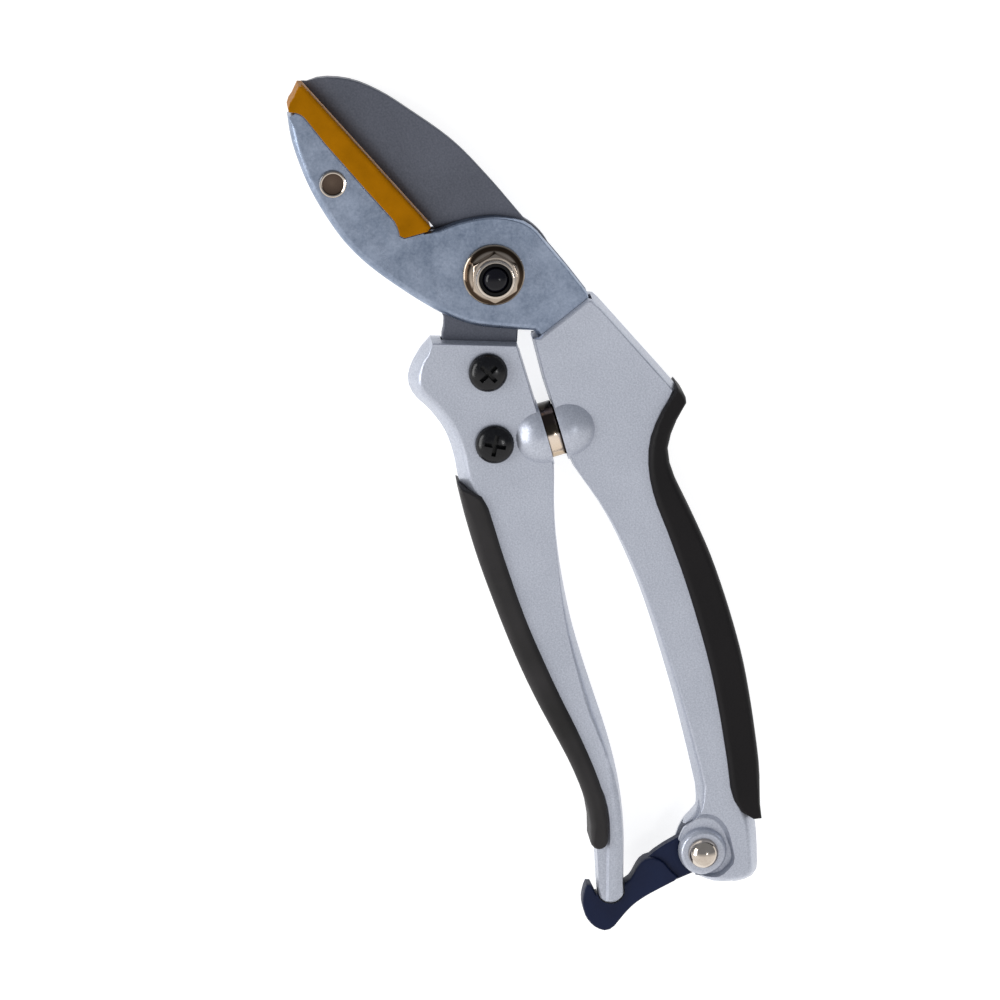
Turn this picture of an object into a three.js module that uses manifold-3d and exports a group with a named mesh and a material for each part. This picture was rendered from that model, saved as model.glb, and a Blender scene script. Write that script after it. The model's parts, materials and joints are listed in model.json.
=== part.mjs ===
// Anvil pruning shears, closed and latched, lying flat. Millimetres, +Z up.
// The pivot axis is X = Y = 0 and the flat of the pivot bolt's head rests on Z = 0.
// +X runs from the grips to the jaws, +Y towards the handle that carries the blade.
// Plan coordinates start a little behind the pivot and are moved onto it at the end.
import * as THREE from 'three';
import { mergeVertices } from 'three/addons/utils/BufferGeometryUtils.js';
import Module from 'manifold-3d';

// ---------------------------------------------------------------- driving dimensions
const PIVOT_AT = [1.4, 0.2];  // the pivot in plan coordinates
const MID = 8.1;              // height of the blade's middle plane above the bolt head
const GAP = 0.3;              // clearance between parts that lie against or fold over each other
const RUN = 0.08;             // radial clearance of pins, bolts and screws in their holes
const HANDLE_HALF = 5;        // half thickness of both cast handles
const HANDLE_DRAFT = 3.1;     // how far a fully rounded side leans in from parting line to face
const GRIP_HALF = 6.6;        // half thickness of the rubber grips
const GRIP_WALL = 2.2;        // rubber thickness over the handle's outer edge
const BLADE_HALF = 1.4;       // half thickness of the blade plate
const CHEEK_IN = 1.7;         // inner face of the folded jaw's cheeks
const CHEEK_OUT = 3.7;        // outer face of the folded jaw's cheeks
const SHEET = 2;              // sheet thickness at the fold
const LIP_OUT = 4.8;          // outer face of the insert's lips
const CUT_START = [15.9, 10.8];   // pivot end of the line where blade meets insert
const CUT_END = [56.0, 29.8];     // tip end of that line
const RIVET_AT = [32.3, 29.6];    // rivet through jaw and insert
const RIVET_SHANK_R = 1.9;
const BOLT_R = 3;             // M6 pivot bolt
const BUSH_R = 4.2;           // pivot bush
const FLANGE_R = 7.1;         // flange of the lock nut
const HEX_FLATS = 10;         // width across flats of the lock nut
const COLLAR_R = 4.55;        // rolled collar of the lock nut
const SCREW_R = 2.3;          // M5 blade screws
const SCREW_HEAD_R = 4.5;
const SCREWS_AT = { upper: [-19.9, 7.8], lower: [-36.6, 11.0] };
const SPRING_AT = [-38.4, -2.7];  // middle of the volute spring
const SPRING_R = 6.85;        // outside radius of the volute spring
const STRIP = 0.7;            // thickness of the spring strip
const POCKET_R = 6.7;         // bottom of the spring pocket in the anvil handle
const WIDE_POCKET_R = 7.1;    // mouth of both spring pockets
const DOME_R = 7.9;           // domes that house the spring's ends
const CATCH_AT = [-146.0, -8.9];  // pivot of the catch
const CATCH_PIN_R = 2;
const EAR_FRONT_R = 5.7;
const EAR_BACK_R = 6.5;
const FORK_HALF = 2.2;        // half width of the slot between the fork's ears
const TAB_HALF = 1.6;         // half thickness of the catch's tab
const CATCH_HALF = 2.7;       // half thickness of the catch's thumb pad

// ---------------------------------------------------------------- plane geometry
const rad = (degrees) => (degrees * Math.PI) / 180;

const arc = ([cx, cy], r, from, to, steps) => Array.from({ length: steps + 1 }, (_, i) => {
  const a = rad(from + ((to - from) * i) / steps);
  return [cx + r * Math.cos(a), cy + r * Math.sin(a)];
});

const circle = (centre, r, steps = 32) => arc(centre, r, 0, 360, steps).slice(0, -1);

// a smooth curve through a few points, cut into equal steps
const smooth = (points, step = 2) => {
  const through = points.map(([x, y]) => new THREE.Vector3(x, y, 0));
  const curve = new THREE.CatmullRomCurve3(through, false, 'centripetal');
  const count = Math.max(2, Math.round(curve.getLength() / step));
  return curve.getSpacedPoints(count).map((p) => [p.x, p.y]);
};

// gives each point of a run its share of the draft, from [x, share] stops in order of X
const lean = (points, ...stops) => points.map(([x, y]) => {
  const next = stops.findIndex(([at]) => x < at);
  if (next === 0) return [x, y, stops[0][1]];
  const [x0, share0] = stops[(next < 0 ? stops.length : next) - 1];
  if (next < 0) return [x, y, share0];
  const [x1, share1] = stops[next];
  return [x, y, share0 + ((share1 - share0) * (x - x0)) / (x1 - x0)];
});

// joins runs of points into a counter-clockwise outline with no repeats and no points in line
const outline = (...runs) => {
  const all = runs.flat();
  const apart = all.filter(([x, y], i) => {
    const [px, py] = all[(i + all.length - 1) % all.length];
    return Math.hypot(x - px, y - py) > 0.05;
  });
  const bent = apart.filter(([x, y], i) => {
    const [px, py] = apart[(i + apart.length - 1) % apart.length];
    const [nx, ny] = apart[(i + 1) % apart.length];
    return Math.abs((x - px) * (ny - y) - (y - py) * (nx - x)) > 1e-4;
  });
  const area = bent.reduce((sum, [x, y], i) => {
    const [nx, ny] = bent[(i + 1) % bent.length];
    return sum + x * ny - y * nx;
  }, 0);
  return area < 0 ? bent.reverse() : bent;
};

// moves a counter-clockwise outline inwards (outwards where the depth is negative),
// by each point's own share of the depth
const inset = (points, depth) => points.map(([x, y, share = 1], i) => {
  const [px, py] = points[(i + points.length - 1) % points.length];
  const [nx, ny] = points[(i + 1) % points.length];
  const a = Math.hypot(x - px, y - py);
  const b = Math.hypot(nx - x, ny - y);
  const n1 = [-(y - py) / a, (x - px) / a];
  const n2 = [-(ny - y) / b, (nx - x) / b];
  const k = (depth * share) / Math.max(0.35, 1 + n1[0] * n2[0] + n1[1] * n2[1]);
  return [x + (n1[0] + n2[0]) * k, y + (n1[1] + n2[1]) * k, share];
});

// the same outline made larger all round, keeping each point's share
const grow = (points, by) => inset(points.map(([x, y]) => [x, y]), -by)
  .map(([x, y], i) => [x, y, points[i][2] ?? 1]);

// a point s along the cutting line and d below it, into the jaw
const CUT_LENGTH = Math.hypot(CUT_END[0] - CUT_START[0], CUT_END[1] - CUT_START[1]);
const CUT_DIR = [(CUT_END[0] - CUT_START[0]) / CUT_LENGTH, (CUT_END[1] - CUT_START[1]) / CUT_LENGTH];
const cut = (s, d) => [
  CUT_START[0] + s * CUT_DIR[0] - d * CUT_DIR[1],
  CUT_START[1] + s * CUT_DIR[1] + d * CUT_DIR[0],
];

// ---------------------------------------------------------------- solids
const wasm = await Module();
wasm.setup();

const solid = (geometry) => {
  const bare = geometry.index ? geometry.toNonIndexed() : geometry.clone();
  bare.deleteAttribute('normal');
  bare.deleteAttribute('uv');
  const welded = mergeVertices(bare, 1e-4);
  const xyz = new Float32Array(welded.attributes.position.array);
  const tri = new Uint32Array(welded.index.array);
  const corner = (i) => new THREE.Vector3().fromArray(xyz, 3 * i);
  let volume = 0;
  for (let t = 0; t < tri.length; t += 3) {
    volume += corner(tri[t]).dot(corner(tri[t + 1]).cross(corner(tri[t + 2])));
  }
  if (volume < 0) tri.reverse();
  return new wasm.Manifold(new wasm.Mesh({ numProp: 3, vertProperties: xyz, triVerts: tri }));
};

// a plate whose edge follows a profile of [inset, z] steps from back to front
const slab = (points, profile) => {
  const rings = profile.map(([d, z]) => inset(points, d).map(([x, y]) => [x, y, z]));
  const n = points.length;
  const tri = [];
  const flat = (ring) => THREE.ShapeUtils.triangulateShape(
    ring.map(([x, y]) => new THREE.Vector2(x, y)), []);
  const low = rings[0];
  const high = rings[rings.length - 1];
  flat(low).forEach(([a, b, c]) => tri.push(low[a], low[c], low[b]));
  flat(high).forEach(([a, b, c]) => tri.push(high[a], high[b], high[c]));
  for (let r = 0; r + 1 < rings.length; r += 1) {
    for (let i = 0; i < n; i += 1) {
      const j = (i + 1) % n;
      tri.push(rings[r][i], rings[r][j], rings[r + 1][j]);
      tri.push(rings[r][i], rings[r + 1][j], rings[r + 1][i]);
    }
  }
  const geometry = new THREE.BufferGeometry();
  geometry.setAttribute('position', new THREE.Float32BufferAttribute(tri.flat(), 3));
  return solid(geometry);
};

const plate = (points, z0, z1) => slab(points, [[0, z0], [0, z1]]);

// the same edge treatment on both faces: steps of [inset, z] from the middle outwards
const mirrored = (steps) => [
  ...[...steps].reverse().map(([d, z]) => [d, -z]),
  ...steps,
];

// a turned part about Z from a closed [radius, z] section
const turned = (section, [x, y] = [0, 0], steps = 32) => {
  const closed = [...section, section[0]].map(([r, z]) => new THREE.Vector2(r, z));
  return solid(new THREE.LatheGeometry(closed, steps).rotateX(Math.PI / 2))
    .translate([x, y, 0]);
};

const drill = (at, r, z0 = -20, z1 = 20) => plate(circle(at, r, 32), z0, z1);

// a ball with its poles along Z
const ball = ([x, y], r) => solid(new THREE.SphereGeometry(r, 32, 20).rotateX(Math.PI / 2))
  .translate([x, y, 0]);

// a round bore along Y
const boreY = ([x, y0], y1, r) => solid(new THREE.CylinderGeometry(r, r, y1 - y0, 32))
  .translate([x, (y0 + y1) / 2, 0]);

// ---------------------------------------------------------------- handles
// section of a handle's side: a leaning wall, then a round shoulder onto the flat face
const handleEdge = (bigger = 0) => mirrored([[0, 0.5], [0.48, 3.7 + bigger], [0.64, 4.4 + bigger],
  [0.82, 4.85 + bigger], [1, HANDLE_HALF + bigger]].map(([d, z]) => [d * HANDLE_DRAFT, z]));

// the outer sides are well rounded, the inner sides crisp near the pivot and at the tail
const CRISP = 0.2;
const ROUND = 1;
const TAIL_TIP_AT = [-149.5, 14.45];
const leverOutline = outline(
  lean([[-9.3, 18.2]], [0, CRISP]),
  lean(smooth([[-10.6, 20.8], [-13.6, 23.9], [-17.0, 25.9], [-20.6, 25.7], [-25.6, 23.0],
    [-31.0, 21.1], [-37.0, 20.7], [-42.6, 21.2]]), [-16, ROUND], [-12, 0.7]),
  lean(smooth([[-46.0, 21.0], [-53, 20.2], [-66.6, 19.7], [-81.1, 18.6], [-91.4, 17.4], [-99.9, 16.0],
    [-106.8, 14.5], [-116.9, 12.7], [-125.9, 12.0], [-132.0, 12.6], [-136.4, 13.6]], 3.4),
  [-116, 0.5], [-100, ROUND]),
  lean(smooth([[-137.6, 15.2], [-142.5, 16.3], [-147.0, 17.3]], 2), [0, CRISP]),
  lean(arc(TAIL_TIP_AT, 3.35, 96, 250, 15), [-152.6, 0.75], [-150.2, 0.4]),
  lean(smooth([[-148.4, 11.0], [-142.5, 9.25], [-136.6, 7.6], [-129.1, 6.1], [-121.2, 5.2],
    [-111.9, 4.9], [-102.6, 5.2], [-93.0, 5.5], [-84.0, 5.5], [-73.2, 4.7], [-62.5, 3.2],
    [-54.5, 1.4], [-49.4, -0.1], [-45.6, -1.1]], 3.4),
  [-126, 0.35], [-104, 1], [-66, CRISP]),
  lean([[-35.0, -1.0], [-24.9, -0.8], [-15.6, -0.7]], [0, CRISP]),
);

const anvilHandleOutline = outline(
  lean([[-15.3, -4.2], [-25.8, -3.9], [-34.7, -4.2], [-44.5, -4.6]], [0, CRISP]),
  lean(smooth([[-47.6, -5.0], [-51.3, -6.2], [-56.9, -8.1], [-64.2, -9.9], [-76.8, -11.7],
    [-87.9, -12.4], [-100.0, -12.6], [-108.6, -12.6], [-118.2, -12.3], [-125.0, -12.0],
    [-130.5, -11.7]], 3.4), [-126, 0.8], [-66, CRISP]),
  lean(smooth([[-133.6, -11.1], [-136.0, -10.2], [-137.4, -8.6], [-138.5, -6.7], [-140.2, -5.0]], 1.6),
    [-137, 0.25], [-133, 0.6]),
  lean(arc(CATCH_AT, EAR_BACK_R, 58, 140, 12), [0, 0.2]),
  lean(smooth([[-152.5, -6.0], [-153.9, -7.7], [-155.2, -9.8], [-156.2, -13.2], [-156.6, -16.6],
    [-156.1, -18.8], [-154.8, -20.1], [-151.4, -21.1], [-147.7, -22.0], [-144.2, -22.7],
    [-141.6, -22.9]]), [-154, 0.9], [-150, ROUND]),
  lean(smooth([[-138.8, -22.7], [-129.8, -24.8], [-121.0, -26.2], [-112.2, -27.3], [-103.3, -28.2],
    [-94.2, -28.3], [-85.0, -28.1], [-75.8, -27.5], [-66.4, -26.5], [-60.1, -25.5], [-54.6, -24.9],
    [-50.6, -25.3], [-46.6, -27.2], [-42.4, -30.2]], 3.4), [0, ROUND]),
  lean([[-38.6, -32.0]], [0, 0.5]),
  lean(smooth([[-36.6, -33.2], [-30.4, -30.4], [-20.7, -25.8], [-12.4, -21.9]], 3.4), [0, 0.45]),
  lean(smooth([[-11.4, -21.4], [-9.9, -20.5], [-9.3, -19.0]]), [0, 0.5]),
  lean([[-14.9, -5.4]], [0, 0.5]),
);

// plane slot that takes the blade's tang, open towards the pivot
const TANG_OUTLINE = outline(
  [[-9.0, 15.4]],
  smooth([[-14.0, 16.9], [-22.0, 17.4], [-31.0, 16.6], [-38.0, 16.2], [-42.2, 15.4]], 4),
  arc([-39.6, 11.2], 4.6, 122, 262, 10),
  smooth([[-36.0, 6.9], [-29.0, 5.6], [-22.0, 2.2], [-15.6, -0.2]], 4),
);

const screwHoles = (r) => Object.values(SCREWS_AT).map((at) => drill(at, r))
  .reduce((a, b) => a.add(b));

const domeAt = (y) => ball([SPRING_AT[0], y], DOME_R);
const LEVER_FACE_Y = -1.05;
const ANVIL_FACE_Y = -4.45;
const box = (x0, x1, y0, y1, z0, z1) => solid(new THREE.BoxGeometry(x1 - x0, y1 - y0, z1 - z0))
  .translate([(x0 + x1) / 2, (y0 + y1) / 2, (z0 + z1) / 2]);

const leverBody = slab(leverOutline, handleEdge())
  .add(domeAt(0).intersect(box(-60, -20, LEVER_FACE_Y, 12, -9, 9)));
const leverSlot = plate(inset(TANG_OUTLINE, -GAP), -BLADE_HALF - GAP, BLADE_HALF + GAP)
  .add(box(-17.8, -5, -3, 16, -BLADE_HALF - GAP, BLADE_HALF + GAP));
// low ledge along the outer side of the tail, rising to a narrow ridge
const tailLedge = slab(outline(
  lean([[-122.5, 11.5], [-131, 12.5], [-136, 20], [-156, 22]], [0, 0]),
  lean(smooth([[-156, 17.2], [-151.0, 15.7], [-148.2, 14.9], [-144.1, 13.7], [-138.6, 12.0],
    [-135.2, 10.8], [-131.0, 9.85], [-126.6, 9.4], [-122.0, 9.9]], 3.4), [0, 1]),
), [[0.7, 4.3], [0, 5.1], [0, 9]]);
// long rounded slopes along the inner side of the tail, front and back
const TAIL_SLOPE = mirrored([[4.6, 2.0], [3.9, 3.0], [3.0, 3.9], [1.6, 4.6], [0, 5.1]]);
const tailRidge = outline(
  lean(smooth([[-156, 17.3], [-149.2, 15.1], [-145.6, 14.0], [-142.1, 12.8], [-138.6, 11.5],
    [-135.2, 10.3], [-131.0, 9.5], [-126.6, 8.9], [-121.7, 8.3], [-116.8, 7.7], [-110, 6.4],
    [-104, 4.2]], 3.4), [0, 1]),
  lean([[-104, -4], [-156, -4]], [0, 0]),
);
const tailSlopes = slab(tailRidge, TAIL_SLOPE.slice(TAIL_SLOPE.length / 2))
  .add(slab(tailRidge, TAIL_SLOPE.slice(0, TAIL_SLOPE.length / 2)));
const bladeHandle = leverBody
  .subtract(leverSlot)
  .subtract(tailLedge)
  .subtract(tailSlopes)
  .subtract(boreY([SPRING_AT[0], -6], 3.2, WIDE_POCKET_R)
    .intersect(ball([SPRING_AT[0], 0], DOME_R - 0.6)))
  .subtract(screwHoles(SCREW_R + RUN));

// the catch's ears: the front one ends in a round boss with a hollow around it
const boss = turned([[0, -9], [EAR_FRONT_R, -9], [EAR_FRONT_R, 3.0], [EAR_FRONT_R - 0.2, 4.2],
  [EAR_FRONT_R - 0.5, 4.7], [EAR_FRONT_R - 0.9, 4.95], [EAR_FRONT_R - 1.2, HANDLE_HALF],
  [EAR_FRONT_R - 1.2, 9], [0, 9]], CATCH_AT, 40);
const hollowEdge = [[30, 8.4], [10, 9.3], [-13, 9.7], [-33, 9.6], [-57, 8.4], [-76, 7.4], [-98, 7.1],
  [-123, 7.8], [-140, 7.4], [-160, 7.2], [-180, 6.4], [-210, 6.0], [-250, 6.2], [-300, 7.0]]
  .map(([angle, r]) => arc(CATCH_AT, r, angle, angle, 1)[0]);
const hollow = slab(outline(lean(smooth([...hollowEdge, hollowEdge[0]], 1.6),
  [-148, 0.45], [-137, 1.7])), [[1.3, 3.0], [0.95, 3.15], [0.5, 3.7], [0.2, 4.4], [0, 5.4]])
  .subtract(boss);
const earTrim = plate(outline([[-129.5, 3], [-129.5, -10.8], [-134.2, -11.4]],
  smooth([[-136.4, -11.1], [-138.1, -9.5], [-138.8, -7.4], [-139.8, -5.3], [-141.8, -4.2]], 1),
  [[-146, -6.5], [-151.6, -5.6], [-158, -4.6], [-158, 3]]), FORK_HALF - 0.3, 9).subtract(boss);
const forkSlot = plate(outline(
  arc(CATCH_AT, 7.6, 230, 390, 24),
  [[-134, 4], [-165, 4], [-165, -12.2]],
), -FORK_HALF, FORK_HALF);
const anvilBody = slab(anvilHandleOutline, handleEdge())
  .add(domeAt(-6.3).intersect(box(-60, -20, -16, ANVIL_FACE_Y, -9, 9)));

// ---------------------------------------------------------------- folded anvil jaw
const foldSide = smooth([[50.1, 35.0], [45, 35.7], [38.8, 35.6], [32, 34.8], [25.3, 33.2], [18.5, 30.9],
  [12.3, 27.6], [4.2, 21.6], [-4.4, 13.8], [-9.0, 7.8], [-12.3, 0.1], [-14.2, -5.0]]);
const jawOutline = outline(
  lean(foldSide, [47, 1], [49.8, 0.2]),
  lean([[-24.0, -8.6], [-29.5, -14.5], [-26.5, -21.5], [-14.6, -19.8],
    ...smooth([[-8.9, -19.3], [-2.3, -16.7], [5.1, -13.5], [9.0, -11.7], [11.4, -9.6], [13.4, -6.2],
      [14.7, -2.5], [15.3, 1.5], [15.4, 5.6], [15.1, 9.4]])], [0, 0.4]),
  lean([cut(0.2, 1.9), cut(40.4, 1.9)], [0, 0.2]),
);
const throat = outline(
  [[70, 33.0]],
  smooth([[50, 33.3], [45, 33.6], [38.8, 33.5], [32.3, 32.8], [25.9, 31.3], [19.4, 29.1],
    [13.5, 25.9], [5.6, 20.2]]),
  [[2, 27], [-60, 30], [-60, -60], [70, -60]],
);
const JAW_EDGE = mirrored([[0, 1.8], [0.15, 2.5], [0.5, 3.1], [1.05, 3.5], [1.7, CHEEK_OUT]]);
const jawSolid = slab(jawOutline, JAW_EDGE).subtract(plate(throat, -CHEEK_IN, CHEEK_IN));

// slots in the handle for the two cheeks' tails
const tailRoom = outline([[-6, 3.4], [-16, -4.4], [-24.1, -8.1], [-30.1, -14.4], [-26.9, -22.1],
  [-14.6, -20.4], [-6, -19.4]]);
const anvilHandle = anvilBody
  .subtract(plate(tailRoom, CHEEK_IN - GAP, CHEEK_OUT + 0.2))
  .subtract(plate(tailRoom, -CHEEK_OUT - 0.2, -CHEEK_IN + GAP))
  .subtract(boreY([SPRING_AT[0], -9.9], 0, POCKET_R))
  .subtract(boreY([SPRING_AT[0], -6.0], 0, WIDE_POCKET_R))
  .subtract(forkSlot)
  .subtract(hollow)
  .subtract(earTrim)
  .subtract(drill(CATCH_AT, CATCH_PIN_R + RUN));

// ---------------------------------------------------------------- anvil insert
const lipOutline = outline(
  lean([cut(0.4, 0.0), cut(44.2, 0.0)], [0, 1.8]),
  lean([
    cut(44.9, 0.8),
    [54.0, 32.6], [53.2, 33.6], [52.0, 34.4], [51.1, 34.5],
    ...smooth([[50.5, 33.0], [49.6, 31.9], [48.4, 31.2]], 0.6),
    cut(31, 5.0), cut(17, 5.2),
    ...smooth([cut(7.0, 5.2), cut(5.4, 5.7), cut(4.3, 6.2)], 0.7),
    [16.4, 18.3], [15.6, 17.4], [15.5, 11.9],
  ], [0, 0.8]),
);
// the lips sit in shallow seats pressed into the cheeks
const SEAT = CHEEK_OUT - 0.5;
const seatOutline = grow(lipOutline, GAP);
const anvilJaw = jawSolid
  .subtract(plate(seatOutline, SEAT, 9))
  .subtract(plate(seatOutline, -9, -SEAT))
  .subtract(drill(PIVOT_AT, BOLT_R + RUN))
  .subtract(drill(RIVET_AT, RIVET_SHANK_R + RUN));

const cheekRoom = outline([cut(-6, 1.6), cut(40.8, 1.6), [49.9, 36.5], [5, 40], [-10, 12]]);
const cutAngle = (Math.atan2(CUT_DIR[1], CUT_DIR[0]) * 180) / Math.PI;
const insertWeb = outline(
  [cut(3, 0.8), cut(39.4, 0.8), cut(38.6, 5.2), cut(27.4, 6.4)],
  arc(RIVET_AT, 2.8, cutAngle - 20, cutAngle + 200, 14),
  [cut(18.4, 6.4), cut(3.4, 4.6)],
);
const anvilInsert = slab(lipOutline, mirrored([[0, LIP_OUT - 0.5], [0.15, LIP_OUT - 0.15],
  [0.5, LIP_OUT]]))
  .subtract(plate(cheekRoom, CHEEK_IN - GAP, SEAT + 0.2))
  .subtract(plate(cheekRoom, -SEAT - 0.2, -CHEEK_IN + GAP))
  .add(plate(insertWeb, -CHEEK_IN + GAP, CHEEK_IN - GAP))
  .subtract(drill(RIVET_AT, RIVET_SHANK_R + RUN));

// ---------------------------------------------------------------- blade
const bladeOutline = outline(
  [cut(44.9, -GAP), cut(-0.8, -GAP)],
  smooth([[14.6, 11.0], [12.2, 12.6], [6.5, 14.9], [0, 15.4], [-4.6, 13.9], [-6.6, 14.2], [-9.0, 15.4]]),
  TANG_OUTLINE.slice(1, -1),
  [[-15.5, -0.8], [-13.2, -1.6]],
  smooth([[-13.0, -3.4], [-12.4, -8.0]], 2),
  arc(PIVOT_AT, 14.4, 218, 314, 20),
  smooth([[12.6, -9.6], [22.5, -5.2], [33.2, 0.4], [43.1, 8.0], [49.1, 13.2], [53.4, 18.4],
    [55.6, 23.2], [56.3, 26.6], [56.2, 28.6]], 2.4),
);
const grind = (side) => {
  const wedge = new THREE.Shape([
    new THREE.Vector2(0.4, 0.22), new THREE.Vector2(-5.4, BLADE_HALF),
    new THREE.Vector2(-5.4, 3), new THREE.Vector2(0.4, 3),
  ]);
  const along = new THREE.ExtrudeGeometry(wedge, { depth: 80, bevelEnabled: false });
  const frame = new THREE.Matrix4().makeBasis(
    new THREE.Vector3(-CUT_DIR[1], CUT_DIR[0], 0),
    new THREE.Vector3(0, 0, side),
    new THREE.Vector3(CUT_DIR[0], CUT_DIR[1], 0),
  );
  frame.setPosition(...cut(-9, -GAP), 0);
  return solid(along.applyMatrix4(frame));
};
const cuttingBlade = slab(bladeOutline, mirrored([[0, BLADE_HALF - 0.25], [0.25, BLADE_HALF]]))
  .subtract(grind(1))
  .subtract(grind(-1))
  .subtract(drill(PIVOT_AT, BUSH_R + RUN))
  .subtract(screwHoles(SCREW_R + RUN));

// ---------------------------------------------------------------- rubber grips
const GRIP_EDGE = mirrored([[0, 4.6], [0.35, 5.6], [0.95, 6.25], [1.9, GRIP_HALF]]);
const gripOn = (points, handle) => slab(points, GRIP_EDGE)
  .subtract(slab(grow(handle, 0.15), handleEdge(0.15)));
const leverGripOutline = outline(lean([
  [-43.4, 21.75],
  ...smooth([[-45.6, 22.0], [-52.5, 22.3], [-59.8, 22.3], [-66.6, 22.0], [-81.1, 20.9], [-91.4, 19.7],
    [-99.9, 18.3], [-106.8, 16.9], [-116.9, 15.0], [-125.9, 14.3], [-131.6, 14.8], [-134.6, 15.6]], 3.4),
  ...arc([-135.7, 13.8], 2.1, 85, 245, 8),
  ...smooth([[-134.8, 11.2], [-132.0, 10.2], [-126.0, 9.6],
    [-118.7, 9.9], [-108.4, 11.2], [-99.1, 12.8], [-89.3, 14.2], [-79.0, 15.4], [-63.0, 16.2],
    [-50.6, 16.4], [-48.6, 16.6], [-47.4, 17.5], [-45.4, 19.7]], 3.4),
], [-137, 0.35], [-130, 1], [-52, 1], [-45, 0.3]));
const anvilGripOutline = outline(lean([
  ...smooth([[-35.7, -33.2], [-37.1, -31.7], [-40.0, -28.4], [-45.6, -23.8], [-52.4, -21.4],
    [-60.0, -20.8], [-68.2, -21.5], [-80.9, -22.3], [-94.0, -22.5], [-103.0, -22.3],
    [-112.6, -21.6], [-126.4, -20.0], [-133.6, -19.0], [-138.4, -19.8], [-141.4, -22.4]], 3.4),
  ...smooth([[-141.8, -24.4], [-138.6, -24.9], [-129.8, -27.1], [-121.0, -28.5], [-112.2, -29.6],
    [-103.3, -30.4], [-94.2, -30.6], [-85.0, -30.4], [-75.8, -29.8], [-66.4, -28.5], [-60.1, -27.4],
    [-54.7, -26.7], [-51.0, -26.8], [-48.2, -27.6], [-45.4, -29.5], [-42.8, -31.6],
    [-41.1, -33.3]], 3.4),
  ...smooth([[-40.2, -34.2], [-39.2, -34.4], [-38.1, -34.2], [-36.6, -33.6]], 1.2),
], [-141, 0.3], [-132, 1], [-46, 1], [-40, 0.3]));

// ---------------------------------------------------------------- turned and headed parts
const ring = (at, inner, outer, z0, z1, ease = 0.12) => turned([[inner, z0], [outer - ease, z0],
  [outer, z0 + ease], [outer, z1 - ease], [outer - ease, z1], [inner, z1]], at);
const hexagon = (flats, turn) => arc(PIVOT_AT, flats / Math.sqrt(3), turn, turn + 300, 5);
const NUT_TURN = -16;
const nutBase = CHEEK_OUT + 0.1;
const pivotNut = turned([[0, nutBase], [FLANGE_R - 0.1, nutBase], [FLANGE_R, nutBase + 0.15],
  [FLANGE_R, nutBase + 0.55], [FLANGE_R - 0.3, nutBase + 0.85], [5.6, nutBase + 1.5],
  [0, nutBase + 1.5]], PIVOT_AT)
  .add(plate(hexagon(HEX_FLATS, NUT_TURN), nutBase + 1, nutBase + 5.2)
    .intersect(turned([[0, nutBase], [5.9, nutBase], [5.9, nutBase + 4.5], [4.95, nutBase + 5.2],
      [0, nutBase + 5.2]], PIVOT_AT)))
  .add(turned([[0, nutBase + 4], [COLLAR_R, nutBase + 4], [COLLAR_R, nutBase + 5.9],
    [COLLAR_R - 0.15, nutBase + 6.25], [COLLAR_R - 0.5, nutBase + 6.4], [0, nutBase + 6.4]],
  PIVOT_AT))
  .subtract(drill(PIVOT_AT, BOLT_R + RUN))
  .subtract(drill(PIVOT_AT, 3.9, nutBase + 4.8, 20));
const lockRing = ring(PIVOT_AT, BOLT_R + RUN, 3.8, nutBase + 4.9, nutBase + 6.15);
const headTop = -CHEEK_OUT - 1.0;
const pivotBolt = turned([[0, headTop - 0.2], [BOLT_R, headTop - 0.2], [BOLT_R, nutBase + 5.7],
  [BOLT_R - 0.5, nutBase + 6.5], [BOLT_R - 1.3, nutBase + 7.0], [0, nutBase + 7.2]], PIVOT_AT)
  .add(plate(hexagon(HEX_FLATS, 14), -MID, headTop)
    .intersect(turned([[0, -MID], [5.0, -MID], [5.8, -MID + 0.55], [5.8, headTop], [0, headTop]],
      PIVOT_AT)));
const headWasher = ring(PIVOT_AT, BOLT_R + RUN, 6.4, headTop + 0.1, -CHEEK_OUT - 0.1);
const pivotBush = ring(PIVOT_AT, BOLT_R + RUN, BUSH_R, -CHEEK_IN + 0.1, CHEEK_IN - 0.1);

// a semi-tubular rivet with its rolled rim on the front
const anvilRivet = turned([[0, -LIP_OUT + 0.1], [2.6, -LIP_OUT + 0.1], [3.18, -CHEEK_OUT - 0.5],
  [3.18, -CHEEK_OUT - 0.1], [RIVET_SHANK_R, -CHEEK_OUT - 0.1],
  [RIVET_SHANK_R, CHEEK_OUT + 0.1],
  [3.18, CHEEK_OUT + 0.1], [3.18, CHEEK_OUT + 0.6], [3.0, CHEEK_OUT + 0.95],
  [2.75, CHEEK_OUT + 1.0], [2.5, CHEEK_OUT + 0.85], [2.4, CHEEK_OUT + 0.35],
  [0, CHEEK_OUT + 0.25]], RIVET_AT);

const dome = (r, base, height, sign) => Array.from({ length: 8 }, (_, i) => {
  const a = (i * Math.PI) / 14;
  return [r * Math.cos(a), sign * (base + height * Math.sin(a))];
});
const HEAD_SEAT = HANDLE_HALF + 0.1;
const catchRivet = turned([
  ...dome(3.6, HEAD_SEAT, MID - HEAD_SEAT, -1).reverse(),
  [CATCH_PIN_R, -HEAD_SEAT], [CATCH_PIN_R, HEAD_SEAT],
  ...dome(3.6, HEAD_SEAT, 3.0, 1),
], CATCH_AT);
const catchWasher = ring(CATCH_AT, 2.2, 4.2, TAB_HALF + 0.08, FORK_HALF - 0.08);

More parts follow.
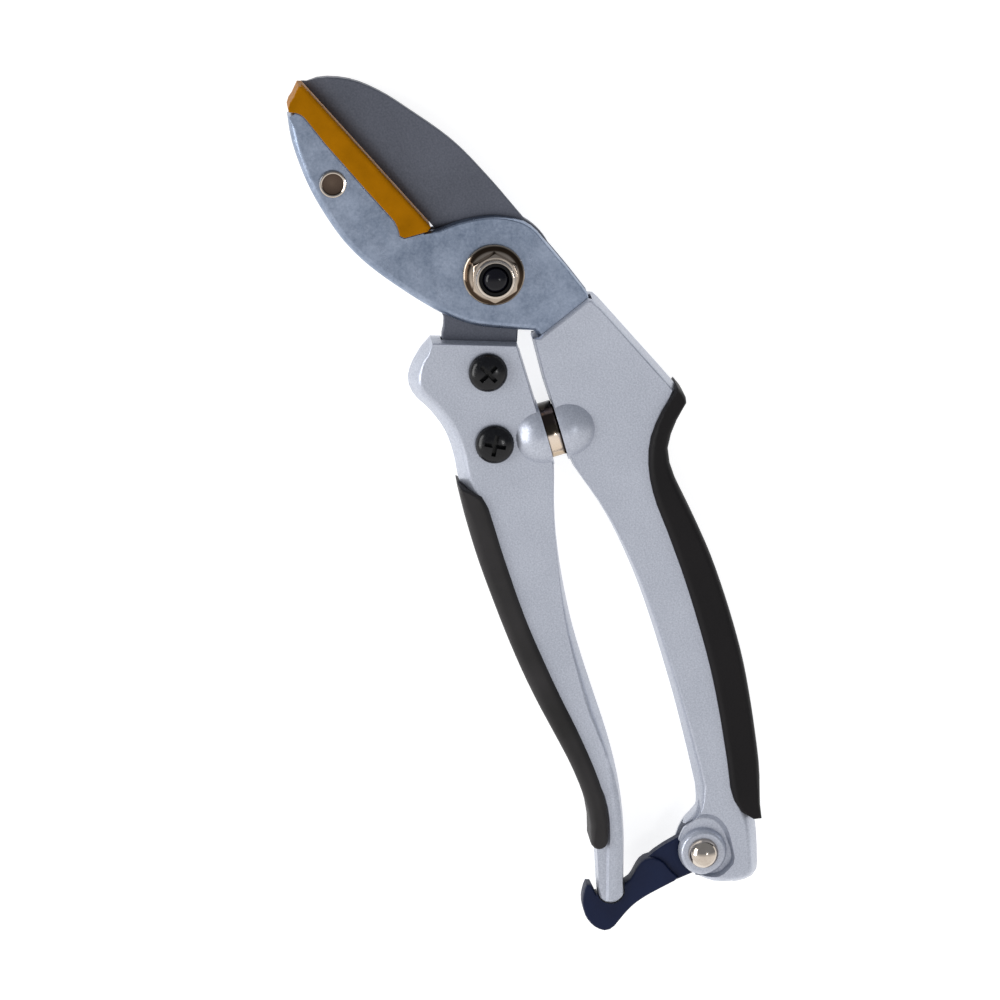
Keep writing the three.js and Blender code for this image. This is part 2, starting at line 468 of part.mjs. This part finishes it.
const screw = (at, turn) => {
  const section = [[0, -4.4], [SCREW_R - 0.4, -4.4], [SCREW_R, -4.0], [SCREW_R, HEAD_SEAT],
    [SCREW_HEAD_R - 0.1, HEAD_SEAT], [SCREW_HEAD_R, HEAD_SEAT + 0.2], [SCREW_HEAD_R, HEAD_SEAT + 0.7],
    [SCREW_HEAD_R - 0.3, HEAD_SEAT + 1.4], [3.4, HEAD_SEAT + 2.0], [2.2, HEAD_SEAT + 2.4],
    [0, HEAD_SEAT + 2.5]];
  const wing = (angle) => box(-2.5, 2.5, -0.5, 0.5, HEAD_SEAT + 0.3, HEAD_SEAT + 4)
    .rotate([0, 0, angle]).translate([at[0], at[1], 0]);
  return turned(section, at).subtract(wing(turn)).subtract(wing(turn + 90));
};

// ---------------------------------------------------------------- volute spring
// one flat strip, wound inwards and stepping along Y from the blade's handle to the anvil's
const SPRING_TURNS = 3.6;
const STRIP_PITCH = 1.05;
const STRIP_STEP = 1.55;
const STRIP_WIDTH = 5.2;
const volute = () => {
  const steps = Math.round(SPRING_TURNS * 28);
  const ringAt = (i) => {
    const turns = (i / steps) * SPRING_TURNS;
    const a = rad(330) + turns * 2 * Math.PI;
    const outer = SPRING_R - turns * STRIP_PITCH;
    const y = SPRING_AT[1] - 1.3 - turns * STRIP_STEP;
    const at = (r, dy) => [SPRING_AT[0] + r * Math.cos(a), y + dy, r * Math.sin(a)];
    return [at(outer, 0), at(outer, STRIP_WIDTH), at(outer - STRIP, STRIP_WIDTH), at(outer - STRIP, 0)];
  };
  const rings = Array.from({ length: steps + 1 }, (_, i) => ringAt(i));
  const tri = [];
  const quad = (a, b, c, d) => tri.push(a, b, c, a, c, d);
  for (let i = 0; i < steps; i += 1) {
    for (let k = 0; k < 4; k += 1) {
      const m = (k + 1) % 4;
      quad(rings[i][k], rings[i + 1][k], rings[i + 1][m], rings[i][m]);
    }
  }
  const last = rings[steps];
  quad(rings[0][0], rings[0][1], rings[0][2], rings[0][3]);
  quad(last[3], last[2], last[1], last[0]);
  const geometry = new THREE.BufferGeometry();
  geometry.setAttribute('position', new THREE.Float32BufferAttribute(tri.flat(), 3));
  return solid(geometry);
};

// ---------------------------------------------------------------- catch
const padOutline = outline(
  smooth([[-146.4, 18.6], [-145.9, 18.9], [-146.1, 19.6], [-147.8, 20.8], [-149.8, 21.7], [-152.0, 22.0],
    [-154.2, 21.8], [-156.3, 20.9], [-157.6, 19.8], [-158.5, 18.3], [-158.3, 16.6], [-157.2, 14.9],
    [-155.6, 12.6], [-154.2, 10.1], [-153.1, 6.9], [-152.4, 3.8], [-151.8, 0.8], [-151.4, -1.0],
    [-151.0, -1.7]], 1.3),
  smooth([[-148.6, -0.3], [-146.2, 0.7], [-144.9, 1.9], [-144.2, 3.4], [-144.4, 5.3], [-145.6, 7.0],
    [-146.8, 8.1], [-147.9, 9.3], [-148.4, 10.6]], 1.2),
  [[-149.8, 14], [-149.1, 17.3], [-149.2, 18.1]],
);
const tabOutline = outline(
  arc(CATCH_AT, 4.6, 180, 360, 16),
  [[-141.7, -3.9], [-142.5, -0.6], [-143.4, 2.1], [-145.0, 5.6], [-152.2, 5.6], [-151.8, 1.0]],
);
const catchLever = slab(padOutline, mirrored([[0, CATCH_HALF - 0.7], [0.2, CATCH_HALF - 0.2],
  [0.6, CATCH_HALF]]))
  .subtract(slab(grow(leverOutline, GAP), handleEdge()))
  .add(slab(tabOutline, mirrored([[0, TAB_HALF - 0.3], [0.3, TAB_HALF]])))
  .subtract(drill(CATCH_AT, CATCH_PIN_R + RUN));

// ---------------------------------------------------------------- assembly
const SILVER = [0xb4bbc6, 0.42, 0.55];
const STEEL = [0x8b93a0, 0.38, 0.85];
const DARK_STEEL = [0x4f535c, 0.45, 0.7];
const NICKEL = [0xb9ad9c, 0.25, 1.0];
const BLACK_STEEL = [0x17181b, 0.4, 0.6];
const RUBBER = [0x262224, 0.8, 0.0];
const OCHRE = [0xb0740c, 0.45, 0.1];
const NAVY = [0x1e2a4c, 0.5, 0.0];
const NYLON = [0x101114, 0.55, 0.0];

const root = new THREE.Group();
root.name = 'anvil_pruning_shears';

const place = (name, body, [color, roughness, metalness]) => {
  const mesh = body.translate([-PIVOT_AT[0], -PIVOT_AT[1], MID]).getMesh();
  const xyz = new Float32Array((mesh.vertProperties.length / mesh.numProp) * 3);
  for (let i = 0; i < xyz.length / 3; i += 1) {
    for (let k = 0; k < 3; k += 1) xyz[3 * i + k] = mesh.vertProperties[mesh.numProp * i + k];
  }
  const geometry = new THREE.BufferGeometry();
  geometry.setAttribute('position', new THREE.BufferAttribute(xyz, 3));
  geometry.setIndex(new THREE.BufferAttribute(new Uint32Array(mesh.triVerts), 1));
  geometry.computeVertexNormals();
  const part = new THREE.Mesh(geometry, new THREE.MeshStandardMaterial({ color, roughness, metalness }));
  part.name = name;
  root.add(part);
};

place('anvil_handle', anvilHandle, SILVER);
place('anvil_handle_grip', gripOn(anvilGripOutline, anvilHandleOutline), RUBBER);
place('anvil_jaw', anvilJaw, STEEL);
place('anvil_insert', anvilInsert, OCHRE);
place('anvil_rivet', anvilRivet, NICKEL);
place('pivot_bolt', pivotBolt, BLACK_STEEL);
place('pivot_washer', headWasher, NICKEL);
place('pivot_bush', pivotBush, NICKEL);
place('pivot_nut', pivotNut, NICKEL);
place('nut_lock_ring', lockRing, NYLON);
place('volute_spring', volute(), NICKEL);
place('catch_rivet', catchRivet, NICKEL);
place('catch_washer', catchWasher, NICKEL);
place('cutting_blade', cuttingBlade, DARK_STEEL);
place('blade_handle', bladeHandle, SILVER);
place('blade_handle_grip', gripOn(leverGripOutline, leverOutline), RUBBER);
place('blade_screw_upper', screw(SCREWS_AT.upper, 28), BLACK_STEEL);
place('blade_screw_lower', screw(SCREWS_AT.lower, -27), BLACK_STEEL);
place('catch_lever', catchLever, NAVY);

export default root;
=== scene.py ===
import json
import math

import bmesh
import bpy
from mathutils import Matrix, Vector
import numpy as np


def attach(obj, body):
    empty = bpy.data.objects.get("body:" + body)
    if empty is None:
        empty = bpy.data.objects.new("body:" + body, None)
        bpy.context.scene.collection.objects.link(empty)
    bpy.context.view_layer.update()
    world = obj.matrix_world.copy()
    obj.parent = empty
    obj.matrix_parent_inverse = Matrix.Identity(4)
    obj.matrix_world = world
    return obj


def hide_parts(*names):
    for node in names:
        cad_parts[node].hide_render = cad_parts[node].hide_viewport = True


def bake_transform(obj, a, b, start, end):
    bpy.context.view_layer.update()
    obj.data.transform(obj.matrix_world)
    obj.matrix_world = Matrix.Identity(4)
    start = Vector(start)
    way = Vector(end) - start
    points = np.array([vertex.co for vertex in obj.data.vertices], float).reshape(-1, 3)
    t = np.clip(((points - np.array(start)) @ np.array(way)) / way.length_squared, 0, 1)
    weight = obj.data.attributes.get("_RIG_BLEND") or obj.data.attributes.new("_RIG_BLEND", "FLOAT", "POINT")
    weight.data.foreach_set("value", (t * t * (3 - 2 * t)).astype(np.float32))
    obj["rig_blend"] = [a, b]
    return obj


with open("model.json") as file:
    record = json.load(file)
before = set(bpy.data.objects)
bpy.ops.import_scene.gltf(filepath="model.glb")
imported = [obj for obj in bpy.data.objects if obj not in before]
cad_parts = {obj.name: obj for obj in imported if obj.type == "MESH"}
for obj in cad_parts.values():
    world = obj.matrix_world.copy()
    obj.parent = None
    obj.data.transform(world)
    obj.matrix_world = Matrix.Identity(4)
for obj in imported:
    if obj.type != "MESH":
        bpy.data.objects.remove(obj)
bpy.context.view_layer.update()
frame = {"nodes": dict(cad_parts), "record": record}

SCENE = bpy.context.scene
NODES = frame["nodes"]
BODY_OF = {n: b for b, ns in frame["record"]["behaviour"]["bodies"].items() for n in ns}
SLOT_OF = {s["node"]: s["material_slot"] for s in frame["record"]["subparts"]}
MID = 0.0081    # height of the blade's middle plane


# ------------------------------------------------------------------ camera
# a long lens, nearly straight above, a little towards the jaws and the blade's side
CAM_HEADING = math.radians(106.0)
CAM_AT = Vector((-0.0953491, 0.2542643, 1.2713214))
CAM_AIM = Vector((0.0011528, -0.0527539, 0.0))
CAM_LENS = 203.41
CAM_SENSOR = 36.0
# the camera is laid out around the drawing's origin, which stands this far from the pivot
DRAWING_ORIGIN = Vector((-0.0014, -0.0002, MID))


def photo_to_row(v):
    """Turn a vector given along the picture's right, up and towards the eye to the model's axes."""
    x = Vector((math.cos(CAM_HEADING), math.sin(CAM_HEADING), 0))
    y = Vector((-math.sin(CAM_HEADING), math.cos(CAM_HEADING), 0))
    return Vector((v.dot(x), v.dot(y), v.z))


def make_camera():
    """The camera looks down its aim line, with the picture's up kept upright."""
    cam = bpy.data.objects.new("camera", bpy.data.cameras.new("camera"))
    SCENE.collection.objects.link(cam)
    cam.data.lens = CAM_LENS
    cam.data.sensor_width = CAM_SENSOR
    cam.data.clip_start = 0.05
    cam.data.clip_end = 20.0
    look = (CAM_AIM - CAM_AT).normalized()
    right = look.cross(Vector((0, 1, 0))).normalized()
    up = right.cross(look)
    axes = [photo_to_row(v) for v in (right, up, -look)]
    at = photo_to_row(CAM_AT) + DRAWING_ORIGIN
    rot = Matrix(axes).transposed().to_4x4()
    cam.matrix_world = Matrix.Translation(at) @ rot
    SCENE.camera = cam


# ------------------------------------------------------------------ materials
def srgb(r, g, b):
    """A display colour, 0 to 255 each, as a linear colour with alpha."""
    def one(c):
        c /= 255.0
        return c / 12.92 if c <= 0.04045 else ((c + 0.055) / 1.055) ** 2.4
    return (one(r), one(g), one(b), 1.0)


class Mat:
    """A node material with short ways to add procedural texture."""

    def __init__(self, name, **sockets):
        self.mat = bpy.data.materials.new(name)
        self.mat.use_nodes = True
        self.tree = self.mat.node_tree
        self.bsdf = self.tree.nodes["Principled BSDF"]
        for key, value in sockets.items():
            self.bsdf.inputs[key.replace("_", " ")].default_value = value
        self.coord = self.node("ShaderNodeTexCoord").outputs["Object"]

    def node(self, kind, **props):
        made = self.tree.nodes.new(kind)
        for key, value in props.items():
            setattr(made, key, value)
        return made

    def link(self, a, b):
        self.tree.links.new(a, b)

    def stretch(self, scale, rotate=(0, 0, 0)):
        m = self.node("ShaderNodeMapping")
        m.inputs["Scale"].default_value = scale
        m.inputs["Rotation"].default_value = rotate
        self.link(self.coord, m.inputs["Vector"])
        return m.outputs["Vector"]

    def noise(self, scale, detail=3.0, rough=0.55, vector=None):
        n = self.node("ShaderNodeTexNoise")
        n.inputs["Scale"].default_value = scale
        n.inputs["Detail"].default_value = detail
        n.inputs["Roughness"].default_value = rough
        self.link(vector or self.coord, n.inputs["Vector"])
        return n.outputs["Fac"]

    def radius(self, x, y):
        """Distance from an upright axis at x, y."""
        m = self.node("ShaderNodeMapping")
        m.inputs["Location"].default_value = (-x, -y, 0)
        m.inputs["Scale"].default_value = (1, 1, 0)
        self.link(self.coord, m.inputs["Vector"])
        n = self.node("ShaderNodeVectorMath", operation="LENGTH")
        self.link(m.outputs["Vector"], n.inputs[0])
        return n.outputs["Value"]

    def remap(self, value, lo, hi, to_lo, to_hi):
        n = self.node("ShaderNodeMapRange")
        for key, v in zip(("From Min", "From Max", "To Min", "To Max"), (lo, hi, to_lo, to_hi)):
            n.inputs[key].default_value = v
        self.link(value, n.inputs["Value"])
        return n.outputs["Result"]

    def ramp(self, value, *stops):
        n = self.node("ShaderNodeValToRGB")
        ends = n.color_ramp.elements
        while len(ends) < len(stops):
            ends.new(0.5)
        for e, (pos, colour) in zip(ends, stops):
            e.position = pos
            e.color = colour
        self.link(value, n.inputs["Fac"])
        return n.outputs["Color"]

    def mix(self, fac, a, b, mode="MIX"):
        n = self.node("ShaderNodeMix", data_type="RGBA", blend_type=mode)
        for key, v in ((0, fac), (6, a), (7, b)):
            if hasattr(v, "is_output"):
                self.link(v, n.inputs[key])
            else:
                n.inputs[key].default_value = v
        return n.outputs[2]

    def bump(self, height, distance, strength=1.0, after=None):
        n = self.node("ShaderNodeBump")
        n.inputs["Distance"].default_value = distance
        n.inputs["Strength"].default_value = strength
        self.link(height, n.inputs["Height"])
        if after is not None:
            self.link(after, n.inputs["Normal"])
        self.link(n.outputs["Normal"], self.bsdf.inputs["Normal"])
        return n.outputs["Normal"]

    def colour(self, value):
        self.link(value, self.bsdf.inputs["Base Color"])

    def roughness(self, value):
        self.link(value, self.bsdf.inputs["Roughness"])


def silver_paint():
    """Fine metallic paint with a soft cloud and small flakes."""
    m = Mat("silver_paint", Metallic=0.5, Roughness=0.36)
    cloud = m.noise(70, 3)
    grain = m.noise(2600, 2, 0.75)
    base = m.ramp(cloud, (0.35, srgb(170, 174, 186)), (0.65, srgb(179, 183, 195)))
    fleck = m.ramp(grain, (0.36, srgb(152, 158, 171)), (0.66, srgb(208, 213, 223)))
    m.colour(m.mix(0.4, base, fleck))
    m.roughness(m.remap(grain, 0.3, 0.7, 0.42, 0.28))
    m.bump(grain, 0.00005, 0.55)
    return m.mat


def zinc_sheet():
    """Blue-grey plated sheet, mottled and faintly brushed."""
    m = Mat("zinc_sheet", Metallic=0.92, Roughness=0.34)
    cloud = m.noise(130, 5, 0.65)
    streak = m.noise(75, 4, 0.6, m.stretch((1, 5, 1), (0, 0, 0.5)))
    fine = m.noise(1500, 4, 0.75)
    a = m.ramp(cloud, (0.30, srgb(107, 120, 141)), (0.70, srgb(164, 175, 195)))
    b = m.ramp(fine, (0.35, srgb(100, 113, 133)), (0.7, srgb(168, 180, 199)))
    m.colour(m.mix(0.35, a, b))
    m.roughness(m.remap(streak, 0.3, 0.7, 0.24, 0.42))
    first = m.bump(cloud, 0.00022, 0.45)
    m.bump(fine, 0.00004, 0.5, first)
    return m.mat


def coated_blade():
    """Dark satin coating on steel."""
    m = Mat("coated_blade", Metallic=0.7, Roughness=0.46)
    cloud = m.noise(60, 3)
    fine = m.noise(2200, 2)
    m.colour(m.mix(0.3, m.ramp(cloud, (0.3, srgb(79, 82, 92)), (0.7, srgb(93, 96, 107))),
                   m.ramp(fine, (0.3, srgb(70, 73, 81)), (0.7, srgb(112, 115, 126)))))
    m.roughness(m.remap(cloud, 0.3, 0.7, 0.4, 0.52))
    m.bump(fine, 0.00003, 0.4)
    return m.mat


def ochre_plastic():
    """Moulded plastic with a dull face."""
    m = Mat("ochre_plastic", Metallic=0.0, Roughness=0.38, IOR=1.08)
    cloud = m.noise(160, 4)
    fine = m.noise(1800, 2)
    m.colour(m.ramp(cloud, (0.3, srgb(142, 91, 2)), (0.7, srgb(160, 103, 4))))
    m.roughness(m.remap(fine, 0.3, 0.7, 0.3, 0.46))
    m.bump(fine, 0.00005, 0.35)
    return m.mat


def nickel(name="nickel", painted_rings=None):
    """Bright plating; the optional last argument is an axis and a run of radius and colour stops around it,
    which darken rings as painted reflection and shade.
    """
    m = Mat(name, Metallic=1.0, Roughness=0.12)
    cloud = m.noise(300, 3)
    fine = m.noise(3000, 2)
    base = m.ramp(cloud, (0.3, srgb(190, 179, 167)), (0.7, srgb(210, 200, 189)))
    if painted_rings:
        at, reach, stops = painted_rings
        # painted reflection and shade: rings darkened around the axis
        around = m.remap(m.radius(*at), 0, reach, 0, 1)
        shade = m.ramp(around, *[(r / reach, srgb(*colour)) for r, colour in stops])
        base = m.mix(1.0, base, shade, "MULTIPLY")
    m.colour(base)
    m.roughness(m.remap(cloud, 0.3, 0.7, 0.08, 0.18))
    m.bump(fine, 0.00002, 0.3)
    return m.mat


def spring_painted_reflections():
    """Plated strip with dark and straw bands painted across it by position, as painted reflections."""
    m = Mat("spring_painted_reflections", Metallic=1.0, Roughness=0.16)
    cloud = m.noise(240, 3)
    fine = m.noise(3000, 2)
    along = m.node("ShaderNodeSeparateXYZ")
    m.link(m.coord, along.inputs["Vector"])
    # painted reflections: dark and light bands set by position along X, not by the strip's own colour
    band = m.remap(along.outputs["X"], -0.0462, -0.0334, 0, 1)
    shade = m.ramp(band, (0.0, srgb(170, 150, 118)), (0.12, srgb(196, 172, 142)),
                   (0.2, srgb(218, 200, 180)), (0.50, srgb(226, 212, 198)), (0.54, srgb(52, 46, 40)),
                   (0.68, srgb(46, 40, 34)), (0.72, srgb(34, 26, 28)), (0.87, srgb(34, 26, 28)),
                   (0.90, srgb(138, 120, 114)), (0.94, srgb(128, 112, 106)),
                   (0.97, srgb(20, 16, 14)), (1.0, srgb(16, 13, 11)))
    m.colour(m.mix(0.06, shade, m.ramp(cloud, (0.3, srgb(120, 106, 92)), (0.7, srgb(190, 176, 158)))))
    m.roughness(m.remap(cloud, 0.3, 0.7, 0.12, 0.24))
    m.bump(fine, 0.00002, 0.3)
    return m.mat


def black_oxide(name="black_oxide", rough=0.24, dark=(5, 5, 8), light=(13, 13, 17), ior=1.38):
    """Blackened steel, or another near-black surface."""
    m = Mat(name, Metallic=0.0, Roughness=rough, IOR=ior)
    fine = m.noise(1600, 3)
    m.colour(m.ramp(fine, (0.3, srgb(*dark)), (0.7, srgb(*light))))
    m.roughness(m.remap(fine, 0.3, 0.7, rough - 0.08, rough + 0.06))
    m.bump(fine, 0.00003, 0.4)
    return m.mat


def soft_rubber(name, dark, light):
    """Matte moulded rubber between two close shades."""
    m = Mat(name, Metallic=0.0, Roughness=0.5, IOR=1.3)
    cloud = m.noise(60, 3)
    fine = m.noise(2400, 4, 0.7)
    m.colour(m.ramp(cloud, (0.3, srgb(*dark)), (0.7, srgb(*light))))
    m.roughness(m.remap(fine, 0.3, 0.7, 0.5, 0.64))
    m.bump(fine, 0.00006, 0.45)
    return m.mat


def navy_plastic():
    """Finely textured dark blue plastic."""
    m = Mat("navy_plastic", Metallic=0.0, Roughness=0.5, IOR=1.3)
    cloud = m.noise(90, 3)
    fine = m.noise(2200, 3, 0.7)
    m.colour(m.ramp(cloud, (0.3, srgb(6, 17, 46)), (0.7, srgb(12, 26, 58))))
    m.roughness(m.remap(fine, 0.3, 0.7, 0.42, 0.58))
    m.bump(fine, 0.00006, 0.45)
    return m.mat


FINISH = {
    "handle_metal": silver_paint(),
    "jaw_steel": zinc_sheet(),
    "blade_steel": coated_blade(),
    "insert_plastic": ochre_plastic(),
    "plated_steel": nickel(),
    "black_steel": black_oxide(),
    "lock_nylon": black_oxide("black_nylon", 0.4, (3, 3, 5), (7, 7, 10), 1.25),
    "grip_rubber": soft_rubber("soft_rubber", (9, 7, 9), (15, 12, 14)),
    "catch_plastic": navy_plastic(),
}
# the grip on the blade's side is painted greyer than the other one, as painted light from the lamp on its
# side
LIT_SIDE_RUBBER = soft_rubber("lit_side_rubber", (34, 33, 33), (48, 46, 47))
# plating with rings darkened as painted reflection and shade: radius from the axis in metres, and the shade
# there
BRIGHT = (255, 255, 255)
# painted reflection on the nut: dark flange and bore, bright collar left unshaded
NUT_PLATE = nickel("nut_plate", ((0, 0), 0.008, [
    (0, (60, 56, 52)), (0.0037, (60, 56, 52)), (0.0040, BRIGHT), (0.0046, BRIGHT),
    (0.0050, (222, 216, 210)), (0.0055, (226, 220, 214)), (0.0059, (84, 72, 62)),
    (0.0067, (74, 64, 56)), (0.0070, (224, 220, 214))]))
BOLT_BLUE = black_oxide("blued_bolt_end", 0.18, (5, 5, 12), (9, 9, 19), 1.33)
# painted reflection on the rivet: dark brownish dish and bright rim
RIVET_PLATE = nickel("rivet_plate", ((0.0309, 0.0294), 0.004, [
    (0, (128, 116, 108)), (0.0021, (112, 100, 94)), (0.0024, (96, 84, 78)),
    (0.0026, BRIGHT), (0.0032, BRIGHT)]))
SPRING_PLATE = spring_painted_reflections()


# ------------------------------------------------------------------ pieces from the frame
SHARP = math.radians(40)         # edges sharper than this stay creased
FLAT = math.radians(0.5)         # facets flatter than this are joined
WELD = 3e-6                      # points closer than this are one


def refine(node, finish=None):
    """A smooth copy of a CAD node, shown in its place."""
    src = NODES[node]
    mesh = src.data.copy()
    obj = bpy.data.objects.new(node + "_skin", mesh)
    SCENE.collection.objects.link(obj)
    bm = bmesh.new()
    bm.from_mesh(mesh)
    bmesh.ops.remove_doubles(bm, verts=bm.verts, dist=WELD)
    bmesh.ops.dissolve_limit(bm, angle_limit=FLAT, verts=bm.verts, edges=bm.edges)
    for f in bm.faces:
        f.smooth = True
    for e in bm.edges:
        e.smooth = len(e.link_faces) == 2 and e.calc_face_angle(0) < SHARP
    bm.to_mesh(mesh)
    bm.free()
    mesh.materials.clear()
    mesh.materials.append(finish or FINISH[SLOT_OF[node]])
    weighted = obj.modifiers.new("weighted", "WEIGHTED_NORMAL")
    weighted.keep_sharp = True
    weighted.weight = 60
    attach(obj, BODY_OF[node])
    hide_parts(node)
    return obj


# ------------------------------------------------------------------ volute spring
SPRING_X = -0.0398
SPRING_Y = -0.0029
SPRING_R = 0.00685               # outside radius of the widest turn
SPRING_START = math.radians(330)
SPRING_TURNS = 3.6
STRIP = 0.0007                   # thickness of the strip
STRIP_WIDTH = 0.0052
STRIP_PITCH = 0.00105            # inwards, each turn
STRIP_STEP = 0.00155             # along the axis, each turn
FIRST_EDGE = SPRING_Y - 0.0013   # where the widest turn starts along the axis
STRIP_EASE = 0.00014             # corners of the strip
STRIP_CREASE = math.radians(50)
STEPS_PER_TURN = 72
SEATED = 0.08                    # share of the strip held in each pocket


def strip_section():
    """The strip's outline as distances from its outer face and along the axis, corners eased."""
    w, t, ease = STRIP_WIDTH, STRIP, STRIP_EASE
    return [(0, ease), (0, w - ease), (-ease, w), (ease - t, w), (-t, w - ease),
            (-t, ease), (ease - t, 0), (-ease, 0)]


def make_spring():
    """One flat strip wound inwards; each turn goes its own share of the way when the handles open."""
    steps = round(SPRING_TURNS * STEPS_PER_TURN)
    section = strip_section()
    verts, faces, share = [], [], []
    for i in range(steps + 1):
        f = i / steps
        a = SPRING_START + f * SPRING_TURNS * 2 * math.pi
        r = SPRING_R - f * SPRING_TURNS * STRIP_PITCH
        y = FIRST_EDGE - f * SPRING_TURNS * STRIP_STEP
        for dr, dy in section:
            verts.append((SPRING_X + (r + dr) * math.cos(a), y + dy, MID + (r + dr) * math.sin(a)))
            share.append(min(1.0, max(0.0, (1 - SEATED - f) / (1 - 2 * SEATED))))
    n = len(section)
    for i in range(steps):
        for k in range(n):
            m = (k + 1) % n
            faces.append((i * n + k, (i + 1) * n + k, (i + 1) * n + m, i * n + m))
    faces.append(tuple(range(n)))
    faces.append(tuple(reversed(range(steps * n, steps * n + n))))
    mesh = bpy.data.meshes.new("spring_strip")
    mesh.from_pydata(verts, [], faces)
    bm = bmesh.new()
    bm.from_mesh(mesh)
    bmesh.ops.recalc_face_normals(bm, faces=bm.faces)
    for f in bm.faces:
        f.smooth = True
    for e in bm.edges:
        e.smooth = e.calc_face_angle(0) < STRIP_CREASE
    bm.to_mesh(mesh)
    bm.free()
    mesh.materials.append(SPRING_PLATE)
    obj = bpy.data.objects.new("volute_spring_skin", mesh)
    SCENE.collection.objects.link(obj)
    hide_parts("volute_spring")
    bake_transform(obj, "anvil_side", "blade_side", start=(SPRING_X, SPRING_Y - 0.007, MID),
             end=(SPRING_X, SPRING_Y + 0.0053, MID))
    # the straight blend above gives way to one that follows the winding
    mesh.attributes["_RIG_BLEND"].data.foreach_set("value", share)
    return obj


make_camera()
OWN_FINISH = {"blade_handle_grip": LIT_SIDE_RUBBER, "pivot_nut": NUT_PLATE, "anvil_rivet": RIVET_PLATE,
              "pivot_bolt": BOLT_BLUE}
for node in NODES:
    if node != "volute_spring":
        refine(node, OWN_FINISH.get(node))
make_spring()


# ------------------------------------------------------------------ floor and light
FLOOR_HALF = 1.6                 # half the floor's side
FLOOR_X = -0.05                  # its middle, near the shears'
FLOOR_GREY = 0.55
FLOOR_GLOW = 0.75                # keeps the pale floor white in the gaps between the handles
ROOM_WARM = (1.0, 0.985, 0.97, 1)
ROOM_DIM = (0.26, 0.275, 0.30, 1)
ROOM_FROM, ROOM_TO = 0.33, 0.52  # 0 is straight towards the handles' end, 1 towards the jaws'
ROOM_POWER = 1.08
LIT_AT = (0, -0.06, 0)           # what the lamps face


def make_floor():
    """A plain pale floor."""
    bm = bmesh.new()
    bmesh.ops.create_grid(bm, x_segments=8, y_segments=8, size=FLOOR_HALF)
    mesh = bpy.data.meshes.new("floor")
    bm.to_mesh(mesh)
    bm.free()
    floor = bpy.data.objects.new("floor", mesh)
    SCENE.collection.objects.link(floor)
    m = Mat("floor", Roughness=0.9)
    m.bsdf.inputs["Base Color"].default_value = (FLOOR_GREY, FLOOR_GREY, FLOOR_GREY, 1)
    m.bsdf.inputs["Emission Color"].default_value = (1, 1, 1, 1)
    m.bsdf.inputs["Emission Strength"].default_value = FLOOR_GLOW
    mesh.materials.append(m.mat)
    floor.location = (FLOOR_X, 0, 0)


def area_light(name, at, size, power):
    """A rectangular lamp, in metres along the picture's right, up and towards the eye."""
    data = bpy.data.lights.new(name, "AREA")
    data.shape = "RECTANGLE"
    data.size, data.size_y = size
    data.energy = power
    lamp = bpy.data.objects.new(name, data)
    SCENE.collection.objects.link(lamp)
    where = photo_to_row(Vector(at))
    lamp.location = where
    lamp.rotation_euler = (photo_to_row(Vector(LIT_AT)) - where).to_track_quat("-Z", "Y").to_euler()
    return lamp


def make_room():
    """A pale room that dims towards the jaws' end, so that bright metal shows a light and a dark half."""
    world = bpy.data.worlds.new("studio")
    SCENE.world = world
    world.use_nodes = True
    tree = world.node_tree
    coord = tree.nodes.new("ShaderNodeTexCoord")
    dot = tree.nodes.new("ShaderNodeVectorMath")
    dot.operation = "DOT_PRODUCT"
    dot.inputs[1].default_value = photo_to_row(Vector((0, 1, 0)))
    half = tree.nodes.new("ShaderNodeMapRange")
    half.inputs["From Min"].default_value = -1.0
    ramp = tree.nodes.new("ShaderNodeValToRGB")
    warm, dim = ramp.color_ramp.elements
    warm.position = ROOM_FROM
    warm.color = ROOM_WARM
    dim.position = ROOM_TO
    dim.color = ROOM_DIM
    tree.links.new(coord.outputs["Generated"], dot.inputs[0])
    tree.links.new(dot.outputs["Value"], half.inputs["Value"])
    tree.links.new(half.outputs["Result"], ramp.inputs["Fac"])
    tree.links.new(ramp.outputs["Color"], tree.nodes["Background"].inputs["Color"])
    tree.nodes["Background"].inputs["Strength"].default_value = ROOM_POWER


def make_lamps():
    """A soft window on the left, a weaker one on the right and a small lamp overhead."""
    area_light("key", (-0.95, 0.05, 0.55), (0.9, 0.45), 7.6)
    fill = area_light("fill", (0.95, 0.05, 0.5), (0.5, 0.2), 2.0)
    fill.visible_glossy = False
    area_light("spark", (0.5, -0.1, 1.1), (0.09, 0.09), 0.8)


make_floor()
make_room()
make_lamps()
SCENE.view_settings.view_transform = "Standard"
